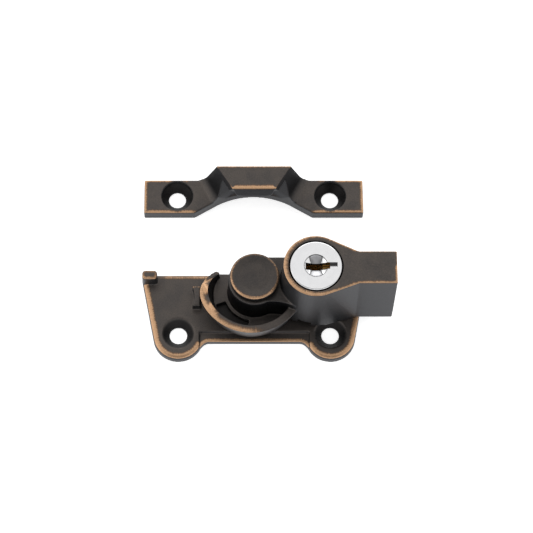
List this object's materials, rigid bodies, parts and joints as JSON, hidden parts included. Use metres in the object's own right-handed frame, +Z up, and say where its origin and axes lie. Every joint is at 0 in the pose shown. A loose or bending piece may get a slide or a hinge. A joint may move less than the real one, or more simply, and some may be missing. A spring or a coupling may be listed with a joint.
{
  "type": "window sash lock",
  "caption": "Key-locking cam sash lock for a sliding sash window: pivoting hooked lever with key cylinder on a screw-down base plate, and an arched keeper that the hook draws in.",
  "frame": {"origin": "on the mounting face of the base, midway between its two fixing holes", "axes": "+X along the meeting rail, towards the handle of the open lever; +Y across the rail, towards the keeper; +Z up, away from the sash"},
  "size_m": [0.0694, 0.0537, 0.0237],
  "materials": {
    "oil_rubbed_bronze": "satin dark bronze over cast zinc, rubbed to copper along the edges",
    "chrome_plate": "polished",
    "brass": "machined, slightly tarnished",
    "spring_steel": "oiled",
    "zinc_plated_steel": "zinc plated"
  },
  "bodies": {
    "base": {"base_plate": "oil_rubbed_bronze", "detent_spring_front": "spring_steel", "detent_spring_back": "spring_steel", "thrust_washer": "zinc_plated_steel"},
    "lever": {"lever": "oil_rubbed_bronze", "pivot_spindle": "zinc_plated_steel", "drive_cam": "zinc_plated_steel", "wave_washer": "spring_steel", "knob_cap": "oil_rubbed_bronze", "cylinder_shell": "brass", "shell_pin": "zinc_plated_steel"},
    "plug": {"cylinder_face": "chrome_plate", "cylinder_plug": "brass", "tail_cam": "zinc_plated_steel", "tail_screw": "zinc_plated_steel", "wafer_spring_1": "spring_steel", "wafer_spring_2": "spring_steel", "wafer_spring_3": "spring_steel", "wafer_spring_4": "spring_steel", "wafer_spring_5": "spring_steel"},
    "wafer_1": {"wafer_1": "brass"},
    "wafer_2": {"wafer_2": "brass"},
    "wafer_3": {"wafer_3": "brass"},
    "wafer_4": {"wafer_4": "brass"},
    "wafer_5": {"wafer_5": "brass"},
    "keeper": {"keeper": "oil_rubbed_bronze"}
  },
  "joints": [
    {"name": "lever_turn", "type": "hinge", "parent": "base", "child": "lever", "pos_m": [0, 0.0115, 0], "axis": [0, 0, 1], "range_deg": [-171, 0], "deforming": ["detent_spring_front", "detent_spring_back"]},
    {"name": "key_turn", "type": "hinge", "parent": "lever", "child": "plug", "pos_m": [0.0164, 0.0115, 0.015], "axis": [0, 0, 1], "range_deg": [-90, 0]},
    {"name": "wafer_1_slide", "type": "slide", "parent": "plug", "child": "wafer_1", "axis": [-1, 0, 0], "range_m": [0, 0.0007], "deforming": ["wafer_spring_1"]},
    {"name": "wafer_2_slide", "type": "slide", "parent": "plug", "child": "wafer_2", "axis": [-1, 0, 0], "range_m": [0, 0.0007], "deforming": ["wafer_spring_2"]},
    {"name": "wafer_3_slide", "type": "slide", "parent": "plug", "child": "wafer_3", "axis": [-1, 0, 0], "range_m": [0, 0.0007], "deforming": ["wafer_spring_3"]},
    {"name": "wafer_4_slide", "type": "slide", "parent": "plug", "child": "wafer_4", "axis": [-1, 0, 0], "range_m": [0, 0.0007], "deforming": ["wafer_spring_4"]},
    {"name": "wafer_5_slide", "type": "slide", "parent": "plug", "child": "wafer_5", "axis": [-1, 0, 0], "range_m": [0, 0.0007], "deforming": ["wafer_spring_5"]},
    {"name": "keeper_slide", "type": "slide", "parent": "base", "child": "keeper", "axis": [0, -1, 0], "range_m": [0, 0.0179]}
  ]
}
